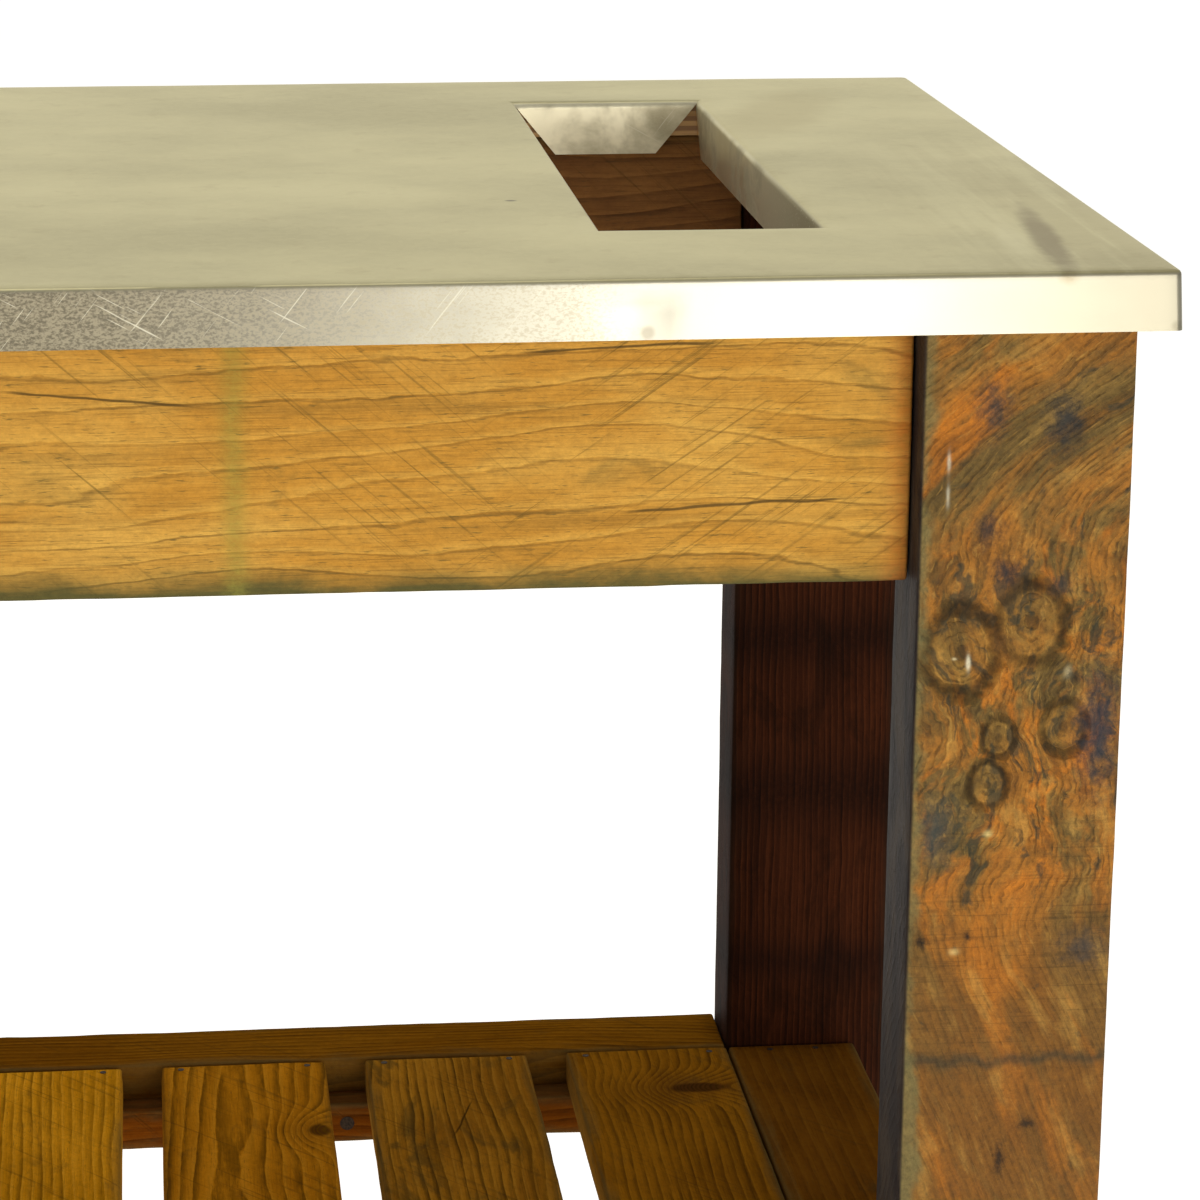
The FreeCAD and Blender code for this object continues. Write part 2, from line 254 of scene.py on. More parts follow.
# A key box in front and to the right, a weak one overhead, and a long card behind that the top mirrors
lights = {
    "keyBox": {"place": (1.5, -3.4, 0.8), "aim": (0.35, 0.0, 0.6),
               "size": (1.7, 1.6), "watts": 52, "tint": "#fffaf2"},
    "topBox": {"place": (-0.2, 0.4, 3.2), "aim": (0.1, 0.0, 0.8),
               "size": (2.4, 2.0), "watts": 13, "tint": "#fffcf6"},
    "backCard": {"place": (0.4, 3.6, 1.75), "aim": (0.2, 0.0, 0.9),
                 "size": (5.6, 1.7), "watts": 17, "tint": "#fdf6d2"},
}
for name, look in lights.items():
    lamp = bpy.data.lights.new(name, "AREA")
    lamp.shape = "RECTANGLE"
    lamp.size, lamp.size_y = look["size"]
    lamp.energy = look["watts"]
    lamp.color = srgb(look["tint"])[:3]
    lampObject = bpy.data.objects.new(name, lamp)
    bpy.context.scene.collection.objects.link(lampObject)
    lampObject.location = look["place"]
    aim = mathutils.Vector(look["aim"]) - mathutils.Vector(look["place"])
    lampObject.rotation_euler = aim.to_track_quat("-Z", "Y").to_euler()

airLook = {"colour": "#fbf9f2", "strength": 0.5}
world = bpy.data.worlds.new("studioAir")
bpy.context.scene.world = world
world.use_nodes = True
air = world.node_tree.nodes["Background"]
air.inputs["Color"].default_value = srgb(airLook["colour"])
air.inputs["Strength"].default_value = airLook["strength"]

floorLook = {"width": 24.0, "colour": "#f4f3ef", "roughness": 0.9, "glow": 0.62}
pickNone()
bpy.ops.mesh.primitive_plane_add(size=floorLook["width"], location=(0, 0, 0))
studioFloor = bpy.context.object
studioFloor.name = "studioFloor"
# matt paper that glows a little
floorPaint, floorShader = newMaterial("paleStudioPaper")
floorShader.inputs["Base Color"].default_value = srgb(floorLook["colour"])
floorShader.inputs["Roughness"].default_value = floorLook["roughness"]
floorShader.inputs["Emission Color"].default_value = srgb("#ffffff")
floorShader.inputs["Emission Strength"].default_value = floorLook["glow"]
studioFloor.data.materials.append(floorPaint)

print("stage: timber material")


def woodFrame(node):
    # Position on one board in millimetres: along its longest side, across the next and through the last
    low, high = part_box(node)
    middle = [(a + b) / 2 for a, b in zip(low, high)]
    axes = sorted(range(3), key=lambda axis: low[axis] - high[axis])
    half = [(high[axis] - low[axis]) / mm / 2 for axis in axes]
    parts = addNode("SeparateXYZ", {}, {0: placeInMillimetres(middle)}).outputs
    along, across, through = [parts[axis] for axis in axes]
    return along, across, through, half


def bell(distance, reach):
    # a soft hill, 1 at its middle and almost nothing at twice its reach
    share = calc("POWER", calc("DIVIDE", distance, reach), 2.0)
    return calc("POWER", math.e, calc("MULTIPLY", share, -1.0))


def distanceOnFace(along, across, spot, stretchAlong=1.0):
    slip = times(minus(along, spot[0]), stretchAlong)
    return lengthOf(joined(slip, minus(across, spot[1])))


def slanted(board, angle, along, across):
    # the board's coordinates turned on its face by an angle, then scaled along and across that direction
    return stretch(spun(board, "Z", angle), along, across, across * 0.6)


def timberMaterial(name, node, look):
    # Softwood board: growth rings are tubes round a pith line that runs along the grain, so one solid
    # pattern gives long figure on the faces and rings on the ends. Everything is in millimetres.
    material, shader = newMaterial(name)
    along, across, through, half = woodFrame(node)
    seed = look["seed"] * 137.0
    board = joined(calc("ADD", along, seed), across, through)

    # The ring distance wanders slowly along the board and is pushed aside by each knot
    wander = grainNoise(board, 0.35, look["wanderScale"], 2.0)
    ripple = grainNoise(board, 0.3, 0.04, 3.0)
    tremble = grainNoise(board, 0.4, 0.25, 2.0)
    pithAcross, pithThrough = look["pith"]
    fromPith = joined(minus(across, pithAcross), minus(through, pithThrough))
    distance = lengthOf(fromPith)
    distance = scaled(along, look["slope"], distance)
    for field, strength in ((wander, look["wander"]), (ripple, look["ripple"]), (tremble, look["tremble"])):
        distance = scaled(field, strength, distance)
    knotMask, knotShade = 0.0, 0.0
    for u, v, radius, push in look["knots"]:
        reach = distanceOnFace(along, across, (u, v), look["knotStretch"])
        reach = scaled(ripple, radius * 0.8, minus(reach, radius * 0.4))
        distance = scaled(bell(reach, radius * 2.4), push, distance)
        knotMask = calc("MAXIMUM", knotMask, band(reach, radius * 1.05, radius * 0.6))
        knotShade = calc("MAXIMUM", knotShade, bell(reach, radius * 2.2))

    turns = calc("DIVIDE", distance, look["ringGap"])
    phase = calc("FRACT", turns)
    ringNumber = calc("ADD", calc("FLOOR", turns), seed)
    ringLuck = addNode("TexWhiteNoise", {"noise_dimensions": "1D"}, {"W": ringNumber}).outputs[0]
    # pale spring wood darkens slowly to a hard summer line, broken here and there, then starts again
    rise = band(phase, 1 - look["lateShare"] * 2.2, 0.92)
    summer = times(rise, band(phase, 1.0, 0.94))
    broken = grainNoise(board, 0.12, 0.16, 4.0, 0.7)
    summer = times(summer, scaled(ringLuck, 0.6, 0.4))
    summer = times(summer, band(broken, 0.36, 0.58, 0.25, 1.0))
    spring = band(phase, 0.35, 0.02)

    fibres = grainNoise(board, 0.03, 1.2, 5.0, 0.75)
    dashes = grainNoise(board, 0.1, 1.3, 2.0, 0.6)
    streaks = grainNoise(board, 0.05, 0.12, 4.0, 0.65)
    clouds = grainNoise(board, 0.45, 0.018, 4.0, 0.6, 0.4)
    mottle = grainNoise(board, 0.8, 0.35, 8.0, 0.8)
    patchPlace = vectorCalc("ADD", stretch(board, 0.5, 1.0, 1.0), (31.0, 57.0, 11.0))
    patches = noise(patchPlace, 0.03, 5.0, 0.62, 0.6)

    colour = mixColour(band(clouds, 0.35, 0.65), look["pale"], look["warm"])
    stainMask = band(patches, look["stainFrom"], look["stainFrom"] + 0.12)
    for tone, mask, strength in (
            ("light", spring, look["spring"]),
            ("late", band(streaks, 0.5, 0.75), look["streak"]),
            ("light", band(streaks, 0.45, 0.28), look["streak"] * 0.7),
            ("late", summer, look["lateStrength"]),
            ("late", band(fibres, 0.48, 0.75), look["fibre"]),
            ("light", band(fibres, 0.45, 0.25), look["fibre"] * 0.6),
            ("stain", band(dashes, 0.62, 0.72), look["dash"]),
            ("stain", stainMask, look["stainStrength"])):
        colour = tint(colour, look[tone], mask, strength)
    if look["knots"]:
        knotRings = band(calc("SINE", times(distance, 2.6)), -0.4, 0.9)
        knotColour = mixColour(knotRings, look["knot"], look["late"])
        colour = tint(colour, look["knotHalo"], knotShade, 0.45)
        colour = mixColour(times(knotMask, 0.9), colour, knotColour)

    # Straight scratches left by the saw, in two slants that each keep to their own stretch
    scratch = 0.0
    for angle, start, end in look["saws"]:
        lines = noise(slanted(board, angle, 0.012, 0.55), 0.8, 3.0, 0.6)
        keep = between(along, start, end, 40)
        gaps = noise(slanted(board, angle, 0.012, 0.05), 1.0, 2.0)
        thin = times(band(lines, 0.56, 0.68), band(gaps, 0.38, 0.6, 0.15, 1.0))
        scratch = calc("MAXIMUM", scratch, times(thin, keep))
    colour = tint(colour, look["sawDirt"], scratch, look["saw"])

    # Grime and weather gather along the long edges
    edgeAcross = minus(half[1], calc("ABSOLUTE", across))
    edgeThrough = minus(half[2], calc("ABSOLUTE", through))
    raggedness = scaled(patches, 22.0, scaled(streaks, 18.0, -20.0))
    grimeReach = calc("ADD", edgeAcross, raggedness)
    grime = band(grimeReach, look["grimeWidth"], 0.0)
    colour = tint(colour, look["weather"], grime, look["grime"])
    nearArris = scaled(raggedness, 0.15, calc("MAXIMUM", edgeAcross, edgeThrough))
    bruise = band(nearArris, 2.8, 0.4)
    colour = tint(colour, look["weather"], bruise, 0.5)
    for u, length, tone, strength in look["crossStains"]:
        blur = scaled(ripple, 8.0, minus(along, u + 4.0))
        mark = times(bell(blur, length), band(mottle, 0.3, 0.6, 0.4, 1.0))
        colour = tint(colour, tone, mark, strength)
    for start, end, level, rise in look["cracks"]:
        line = scaled(minus(along, start), rise / (end - start), level)
        line = scaled(ripple, 7.0, minus(line, 3.5))
        gap = calc("ABSOLUTE", minus(across, line))
        reach = between(along, start + 7, end - 7, 7)
        crack = times(band(gap, 0.8, 0.25), reach)
        colour = tint(colour, look["late"], crack, 0.85)
    # the sawn ends soak up dirt and show their rings end-on
    endGap = minus(half[0], calc("ABSOLUTE", along))
    endDirt = band(scaled(patches, 6.0, endGap), 2.5, 6.0, 0.5, 0.0)
    colour = tint(colour, look["weather"], endDirt)
    lightness = band(mottle, 0.2, 0.8, 1 - look["mottle"], 1 + look["mottle"])
    colour = addNode("HueSaturation", {}, {"Value": lightness, "Color": colour}).outputs[0]
    shader.inputs["Specular IOR Level"].default_value = look["sheen"]
    relief = scaled(summer, 0.5, times(fibres, 0.7))
    relief = scaled(scratch, -0.5, relief)
    dressShader(shader, colour, scaled(mottle, 0.25, look["roughness"]), relief, 0.55, 0.0007)
    return material


def burlMaterial(name, node, look):
    # A leg cut through a burl: short swirling grain, vivid orange flames, green-black iron stains,
    # and below them a calm foot whose grain leans a little
    material, shader = newMaterial(name)
    along, across, through, half = woodFrame(node)
    board = joined(along, across, calc("ADD", through, look["seed"] * 90.0))
    burl = times(band(along, look["calmBelow"] - 50, look["calmBelow"] + 50),
                band(along, look["fanFrom"] - 10, look["fanFrom"] + 50, 1.0, 0.2))

    def swirl(scale, detail, roughness, calmPush, burlPush):
        # a slow random push, stronger inside the burl
        links = {"Vector": board, "Scale": scale, "Detail": detail, "Roughness": roughness}
        away = addNode("TexNoise", {}, links).outputs["Color"]
        push = vectorCalc("SCALE", vectorCalc("SUBTRACT", away, (0.5, 0.5, 0.5)))
        feed(scaled(burl, burlPush, calmPush), push.node.inputs["Scale"])
        return push

    # Everything on the face is read through a bent copy of the board's own coordinates. Above the burl
    # the grain fans out from the lower left, and in the calm foot it leans, so both are read on a slant
    bent = vectorCalc("ADD", board, swirl(0.016, 2.0, 0.5, 9.0, 34.0))
    bent = vectorCalc("ADD", bent, swirl(0.05, 3.0, 0.6, 1.2, 13.0))
    fan = band(along, look["fanFrom"] - 50, look["fanFrom"] + 100)
    bent = spun(bent, "Z", times(fan, look["fanAngle"]), (look["fanFrom"] + 25, 0, 0))
    calm = band(along, look["calmBelow"] + 30, look["calmBelow"] - 60)
    bent = spun(bent, "Z", times(calm, look["calmAngle"]), (look["calmBelow"] - 15, 0, 0))
    bentParts = addNode("SeparateXYZ", {}, {0: bent}).outputs
    distance = scaled(bentParts[2], 0.5, bentParts[1])
    eyeShade, eyeLines = 0.0, 0.0
    for u, v, radius, lift in look["eyes"]:
        reach = distanceOnFace(along, across, (u, v), 0.8)
        wobble = noise(board, 0.09, 2.0)
        reach = scaled(wobble, radius * 0.5, minus(reach, radius * 0.25))
        inside = band(reach, radius * 1.5, radius * 0.9)
        distance = mixValue(inside, distance, times(reach, lift))
        eyeShade = calc("MAXIMUM", eyeShade, inside)
        rim = times(band(reach, radius * 0.85, radius * 1.1),
                    band(reach, radius * 1.5, radius * 1.15))
        heart = band(reach, radius * 0.3, radius * 0.12)
        eyeLines = calc("MAXIMUM", eyeLines, calc("MAXIMUM", rim, heart))
    phase = calc("FRACT", calc("DIVIDE", distance, look["ringGap"]))
    lines = times(band(phase, 0.45, 0.9), band(phase, 1.0, 0.92))
    broken = noise(bent, 0.11, 4.0, 0.7)
    lines = times(lines, band(broken, 0.4, 0.62, 0.1, 1.0))

    def patches(offset, scale, detail, roughness, distortion=0.0):
        # round in the burl, long above and below it
        shifted = vectorCalc("ADD", bent, offset)
        drawnOut = noise(stretch(shifted, 0.2, 0.7, 0.7), scale, detail, roughness, distortion)
        rounded = grainNoise(shifted, 0.5, scale, detail, roughness, distortion)
        return mixValue(burl, drawnOut, rounded)

    flames = patches((17.0, 3.0, 5.0), 0.06, 4.0, 0.6, 0.5)
    olive = patches((71.0, 13.0, 9.0), 0.045, 5.0, 0.65, 0.4)
    inkyPlace = vectorCalc("ADD", stretch(bent, 0.5, 1.0, 1.0), (5.0, 47.0, 2.0))
    inky = noise(inkyPlace, 0.085, 4.0, 0.6, 0.6)
    fine = grainNoise(bent, 0.05, 0.9, 5.0, 0.75)
    pale = grainNoise(bent, 0.15, 0.5, 3.0, 0.6)
    mottle = noise(board, 0.4, 8.0, 0.8)
    sawn = noise(stretch(board, 1.0, 0.02, 0.02), 0.7, 3.0, 0.7)

    oliveShare = times(band(olive, 0.42, 0.6), scaled(calm, -0.6, 1.0))
    ground = mixColour(times(calm, 0.8), look["warm"], look["calmTone"])
    colour = mixColour(oliveShare, ground, look["olive"])
    flameShare = times(band(flames, 0.5, 0.66, 0.0, 0.8), scaled(calm, -0.5, 1.0))
    colour = tint(colour, look["flame"], flameShare)
    colour = tint(colour, look["eye"], eyeShade, 0.6)
    soft = patches((3.0, 23.0, 41.0), 0.11, 3.0, 0.55)
    softDark = times(band(soft, 0.35, 0.5, 0.45, 0.0), scaled(calm, -0.6, 1.0))
    colour = tint(colour, look["late"], softDark)
    colour = tint(colour, look["light"], band(soft, 0.52, 0.68, 0.0, 0.4))
    lineShare = times(lines, scaled(calm, -0.25, 0.5))
    colour = tint(colour, look["late"], lineShare)
    colour = tint(colour, look["late"], band(fine, 0.5, 0.72, 0.0, 0.38))
    paleShare = times(band(pale, 0.58, 0.74), scaled(calm, -0.25, 0.4))
    colour = tint(colour, look["light"], paleShare)
    inkReach = mixValue(burl, 0.66, 0.55)
    inkMask = calc("MULTIPLY", calc("SUBTRACT", inky, inkReach), 14.0, clamp=True)
    colour = tint(colour, look["ink"], inkMask, 0.7)
    colour = tint(colour, look["late"], eyeLines, 0.55)
    ripple = noise(board, 0.07, 3.0)
    smudge = noise(board, 0.2, 4.0, 0.7)
    for u, v, radius, shortness, tone, strength in look["marks"]:
        reach = scaled(smudge, radius * 2.4, distanceOnFace(along, across, (u, v), shortness))
        reach = minus(reach, radius * 1.2)
        colour = tint(colour, tone, bell(reach, radius), strength)
    # one long wet stain right across, fine level saw lines below the burl, then a darkened arris
    wet = bell(scaled(ripple, 10.0, minus(along, look["wetLine"] + 5.0)), 2.6)
    colour = tint(colour, look["ink"], wet, 0.6)
    sawMask = times(band(sawn, 0.52, 0.66), band(along, 60, 130))
    sawMask = times(sawMask, band(along, 250, 170))
    colour = tint(colour, look["late"], sawMask, 0.3)
    raggedness = scaled(olive, 26.0, scaled(ripple, 12.0, -19.0))
    towardsShelf = times(across, look["innerSide"])
    fromInner = calc("ADD", minus(half[1], towardsShelf), raggedness)
    innerWorn = band(fromInner, 7.0, 1.0)
    colour = tint(colour, look["wornEdge"], innerWorn, 0.75)
    # the face that looks along the shelf is painted almost black in slow drifts: partly a real dark stain,
    # partly painted shade, as that face turns away from the key light
    side = band(towardsShelf, half[1] - 2.2, half[1] - 0.8)
    drifts = grainNoise(board, 0.3, 0.06, 3.0, 0.6, 0.6)
    stainAndShadeColour = mixColour(band(drifts, 0.4, 0.65), "#3a3026", "#1f1818")
    colour = mixColour(side, colour, stainAndShadeColour)
    lightness = band(mottle, 0.25, 0.75, 0.68, 1.4)
    vivid = {"Saturation": 1.03, "Value": lightness, "Color": colour}
    colour = addNode("HueSaturation", {}, vivid).outputs[0]
    shader.inputs["Specular IOR Level"].default_value = look["sheen"]
    relief = scaled(lines, 0.6, times(fine, 0.8))
    relief = scaled(eyeLines, -0.5, scaled(broken, 0.8, relief))
    dressShader(shader, colour, scaled(mottle, 0.3, look["roughness"]), relief, 0.7, 0.001)
    return material


plainTimber = {
    "wear": 1.0, "pith": (-150.0, 40.0), "slope": 0.02, "wander": 60.0, "wanderScale": 0.008,
    "ripple": 5.0, "tremble": 0.6, "ringGap": 6.0, "lateShare": 0.3, "lateStrength": 0.8, "spring": 0.3,
    "fibre": 0.5, "streak": 0.35, "dash": 0.4, "mottle": 0.16, "pale": "#b0802e", "warm": "#a07024",
    "light": "#c49844", "late": "#5a3e14", "stain": "#3c3420", "stainFrom": 0.6, "stainStrength": 0.4,
    "knots": [], "knotStretch": 0.8, "knot": "#4a2c12", "knotHalo": "#6b4416", "weather": "#5e5130",
    "grimeWidth": 8.0, "grime": 0.4, "saw": 0.35, "sawDirt": "#4a3818", "saws": [(0.75, -2000, 2000)],
    "crossStains": [], "cracks": [], "roughness": 0.55, "sheen": 0.12,
}

# In the burl's marks: place along and across, reach, how short it is along the grain, tone, strength
timberLooks = {
    "front_apron": {
        "seed": 3, "pith": (-210.0, 30.0), "wander": 90.0, "ripple": 12.0, "tremble": 2.2,
        "ringGap": 13.0, "lateShare": 0.06, "lateStrength": 0.68, "spring": 0.35, "fibre": 0.65,
        "dash": 0.6, "mottle": 0.2, "saw": 0.5, "pale": "#c99a45", "warm": "#b98430", "light": "#dbac50",
        "late": "#503c1a", "stain": "#4c4826",
        "cracks": [(372.0, 476.0, -27.0, 5.0), (118.0, 205.0, 30.0, -9.0), (330.0, 420.0, 41.0, 3.0)],
        "stainStrength": 0.35, "weather": "#544e28", "sawDirt": "#5a4a20",
        "grimeWidth": 16.0, "grime": 1.0, "saws": [(0.72, -700, 330), (-0.6, 300, 700)],
        "crossStains": [(216.0, 5.0, "#858238", 0.5), (-330.0, 7.0, "#858238", 0.4),
                        (497.0, 9.0, "#b0541c", 0.5)]},
    "front_right_leg": {
        "burl": True, "seed": 5, "wear": 0.5, "ringGap": 3.4, "calmBelow": 170.0,
        "fanFrom": 310.0, "fanAngle": -0.9, "warm": "#9a662a", "calmTone": "#68451b", "calmAngle": 0.38,
        "innerSide": -1, "olive": "#655028", "flame": "#b66e28", "eye": "#80602c", "late": "#2e200c",
        "light": "#b48c48", "ink": "#272c22", "wornEdge": "#6c6640", "wetLine": 100.0, "roughness": 0.5,
        "sheen": 0.2,
        "eyes": [(296.0, 4.0, 12.0, 1.0), (284.0, -25.0, 13.0, 1.2), (250.0, 20.0, 8.0, 0.9),
                 (225.0, -12.0, 7.0, 0.8), (246.0, -8.0, 6.0, 0.8), (-60.0, 12.0, 14.0, 1.0)],
        "marks": [(389.0, -15.0, 6.0, 0.6, "#2c3030", 0.8), (383.0, 15.0, 7.0, 0.6, "#20262a", 0.85),
                  (337.0, -15.0, 5.0, 0.8, "#1c2026", 0.85), (318.0, -7.0, 6.0, 1.0, "#1c2026", 0.85),
                  (312.0, 16.0, 5.0, 1.2, "#26282a", 0.8), (248.0, 35.0, 8.0, 0.35, "#262c38", 0.8),
                  (205.0, -34.0, 7.0, 0.5, "#3a4040", 0.6), (150.0, 33.0, 9.0, 1.2, "#2c3034", 0.7),
                  (155.0, -38.0, 2.6, 1.0, "#0e0a06", 0.95), (157.0, -18.0, 1.8, 0.8, "#120c08", 0.9),
                  (70.0, 11.0, 3.6, 1.6, "#1c150d", 0.85), (54.0, -1.0, 2.0, 0.3, "#1c150d", 0.8),
                  (274.0, 21.0, 1.8, 0.7, "#c2b48c", 0.6), (272.0, 23.0, 2.6, 0.6, "#1e1810", 0.7),
                  (203.0, -11.0, 2.2, 1.6, "#d2b878", 0.9), (279.0, -22.0, 0.8, 0.25, "#e6dcbc", 0.8),
                  (281.0, -28.0, 1.0, 1.8, "#e0d0a4", 0.7), (366.0, -33.0, 0.7, 0.2, "#d6d0b8", 0.6),
                  (352.0, -33.0, 0.7, 0.16, "#d6d0b8", 0.5), (150.0, -24.0, 2.0, 1.4, "#c8ac70", 0.7)]},
    # painted shade: the back right leg is coloured far darker than its red-brown wood, for the deep shade
    # it sits in under the top
    "back_right_leg": {
        "seed": 8, "wear": 0.4, "pith": (-400.0, 0.0), "slope": 0.0, "wander": 14.0,
        "ringGap": 3.4, "pale": "#3e1d0c", "warm": "#321608", "light": "#542c16", "late": "#140804",
        "stain": "#100804", "dash": 0.3, "sheen": 0.03, "weather": "#221810", "stainFrom": 0.52,
        "saw": 0.0,
        "crossStains": [(150.0, 16.0, "#0e0705", 0.7), (60.0, 22.0, "#0e0705", 0.7),
                        (-40.0, 12.0, "#120907", 0.6)]},
    "back_rail": {
        "seed": 11, "sheen": 0.0, "pale": "#8a5a10", "warm": "#7a4c0a", "light": "#a06c1c",
        "late": "#3c2406", "ringGap": 5.0},
    "back_cleat": {
        "seed": 12, "sheen": 0.0, "pale": "#7a4410", "warm": "#6a380a", "light": "#8a5216",
        "late": "#2c1606"},
    "back_apron": {
        "seed": 13, "pale": "#80562a", "warm": "#6a4420", "light": "#966834", "late": "#2e1c0c",
        "ringGap": 9.0, "pith": (-160.0, 20.0), "lateShare": 0.2},
    "right_apron": {
        "seed": 14, "pale": "#5a3c1c", "warm": "#4a3016", "light": "#6c4a24",
        "late": "#26170a"},
    # painted light: the shelf slats are coloured brighter and more saturated than their wood, to make up
    # for the dim light that reaches them under the top
    "shelf_slat_6": {
        "seed": 21, "pith": (-340.0, 10.0), "slope": 0.0, "wander": 18.0, "ringGap": 5.5,
        "pale": "#e4a01e", "warm": "#ce8e14", "light": "#eeb43c", "late": "#73500c", "sheen": 0.0},
    "shelf_slat_7": {
        "seed": 22, "pith": (-6.0, 26.0), "slope": 0.03, "wander": 46.0, "ringGap": 6.5,
        "knots": [(114.0, 38.0, 7.0, 26.0)], "pale": "#c78418", "warm": "#b37412", "light": "#d69a2c",
        "late": "#543808", "weather": "#5a421c", "sheen": 0.0},
    "shelf_slat_8": {
        "seed": 23, "pith": (-120.0, 30.0), "wander": 40.0, "ringGap": 5.0,
        "pale": "#ac761e", "warm": "#946218", "light": "#bd8a30", "late": "#3a290c", "stain": "#40391e",
        "sheen": 0.0, "stainFrom": 0.54, "stainStrength": 0.55, "cracks": [(96.0, 150.0, -6.0, 16.0)]},
    "shelf_slat_9": {
        "seed": 24, "pith": (-150.0, 12.0), "slope": 0.0, "wander": 24.0, "ringGap": 5.5,
        "knots": [(152.0, 22.0, 17.0, 26.0)], "knotStretch": 2.3, "pale": "#986412", "warm": "#80520e",
        "light": "#a8741e", "late": "#382408", "sheen": 0.0, "wear": 0.4},
    "right_end_board": {
        "seed": 25, "pith": (-300.0, 0.0), "wander": 14.0, "ringGap": 7.0,
        "lateStrength": 0.4, "pale": "#704610", "warm": "#603a0c", "light": "#82561a", "late": "#38220a",
        "sheen": 0.0, "wear": 0.4},
}

print("stage: boards")

boardShape = {
    "easing": 2.0, "easingSteps": 3, "cell": 6.0, "arrisReach": 5.0,
    "sawnCloud": 0.05, "sawnDepth": 0.4, "wornCloud": 0.03, "wornDepth": 1.6, "cloudDepth": 2,
}


def timberBoard(name, node, wear):
    # A sawn board: its edges eased, cut into short lengths, then worn and warped a little all over
    low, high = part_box(node)
    size = [b - a for a, b in zip(low, high)]
    centre = [(a + b) / 2 for a, b in zip(low, high)]
    pickNone()
    bpy.ops.mesh.primitive_cube_add(size=1, location=centre, scale=size)
    piece = bpy.context.object
    piece.name = name
    bpy.ops.object.transform_apply(location=True, rotation=True, scale=True)
    bpy.ops.object.mode_set(mode="EDIT")
    bpy.ops.mesh.select_all(action="SELECT")
    bpy.ops.mesh.bevel(offset=boardShape["easing"] * mm, segments=boardShape["easingSteps"], affect="EDGES")
    for axis in range(3):
        cuts = int(size[axis] / (boardShape["cell"] * mm)) - 1

        def runsAlong(edge):
            span = edge.verts[1].co - edge.verts[0].co
            return abs(span[axis]) > size[axis] * 0.5
        selectOnly(piece, "EDGE", runsAlong)
        bpy.ops.mesh.subdivide(number_cuts=max(1, cuts))
    bpy.ops.object.mode_set(mode="OBJECT")
    # Only points near the arrises take the deep wear
    arris = piece.vertex_groups.new(name="arris")
    for vertex in piece.data.vertices:
        gaps = sorted(min(at - a, b - at) for at, a, b in zip(vertex.co, low, high))
        closeness = 1 - gaps[1] / (boardShape["arrisReach"] * mm)
        if closeness > 0:
            arris.add([vertex.index], closeness, "REPLACE")
    sawn = ("sawn", boardShape["sawnCloud"], boardShape["sawnDepth"], "")
    worn = ("worn", boardShape["wornCloud"], boardShape["wornDepth"] * wear, "arris")
    for label, scale, strength, group in (sawn, worn):
        cloud = bpy.data.textures.new(f"{name}_{label}", "CLOUDS")
        cloud.noise_scale = scale
        cloud.noise_depth = boardShape["cloudDepth"]
        shift = piece.modifiers.new(label, "DISPLACE")
        shift.texture = cloud
        shift.texture_coords = "LOCAL"
        shift.mid_level = 1.0
        shift.strength = strength * mm
        shift.vertex_group = group
    applyAll(piece)
    return piece


# Boards of one kind came from the same pile, so the rest take after the ones above
alikes = {
    "front_rail": ("back_rail", {
        "seed": 41, "pale": "#a87a2c", "warm": "#966a22", "light": "#bc9040", "late": "#523810"}),
    "front_cleat": ("back_cleat", {"seed": 42}),
    "left_apron": ("front_apron", {
        "seed": 43, "cracks": [], "crossStains": [], "saws": [(0.7, -300, 300)]}),
    "back_left_leg": ("back_right_leg", {
        "seed": 44, "wear": 1.0, "pale": "#6e4420", "warm": "#5c3618", "light": "#84562c",
        "late": "#2c170a", "crossStains": [(-120.0, 14.0, "#2a160c", 0.5)]}),
    "front_left_leg": ("front_right_leg", {
        "seed": 45, "innerSide": 1, "calmBelow": -120.0, "fanFrom": 60.0, "fanAngle": 0.7,
        "wetLine": -230.0, "marks": [(-150.0, 12.0, 3.0, 1.0, "#1c150d", 0.8)],
        "eyes": [(30.0, -8.0, 12.0, 1.0), (-40.0, 16.0, 10.0, 1.0), (10.0, 24.0, 7.0, 0.8)]}),
    "left_bearer": ("back_rail", {"seed": 46, "pale": "#8c6224", "warm": "#7a521c"}),
    "right_bearer": ("back_rail", {"seed": 47, "pale": "#8c6224", "warm": "#7a521c"}),
    # the other slats take the same brightened colours, painted light as above
    "shelf_slat_1": ("shelf_slat_8", {"seed": 51, "pith": (90.0, 24.0)}),
    "shelf_slat_2": ("shelf_slat_6", {"seed": 52, "pith": (220.0, 16.0)}),
    "shelf_slat_3": ("shelf_slat_9", {
        "seed": 53, "knots": [(-90.0, -16.0, 7.0, 24.0)], "knotStretch": 0.8}),
    "shelf_slat_4": ("shelf_slat_7", {
        "seed": 54, "pith": (4.0, 30.0), "knots": [(-40.0, 12.0, 6.0, 22.0)]}),
    "shelf_slat_5": ("shelf_slat_6", {"seed": 55, "pith": (-60.0, 18.0)}),
    "left_end_board": ("right_end_board", {"seed": 56}),
}
for node, (model, changes) in alikes.items():
    timberLooks[node] = {**timberLooks[model], **changes}

for node in sorted(timberLooks):
    look = {**plainTimber, **timberLooks[node]}
    makeMaterial = burlMaterial if "burl" in look else timberMaterial
    material = makeMaterial("softwood_" + node, node, look)
    piece = timberBoard(node + "_timber", node, look["wear"])
    finishPiece(piece, node, material)

print("stage: metal top")

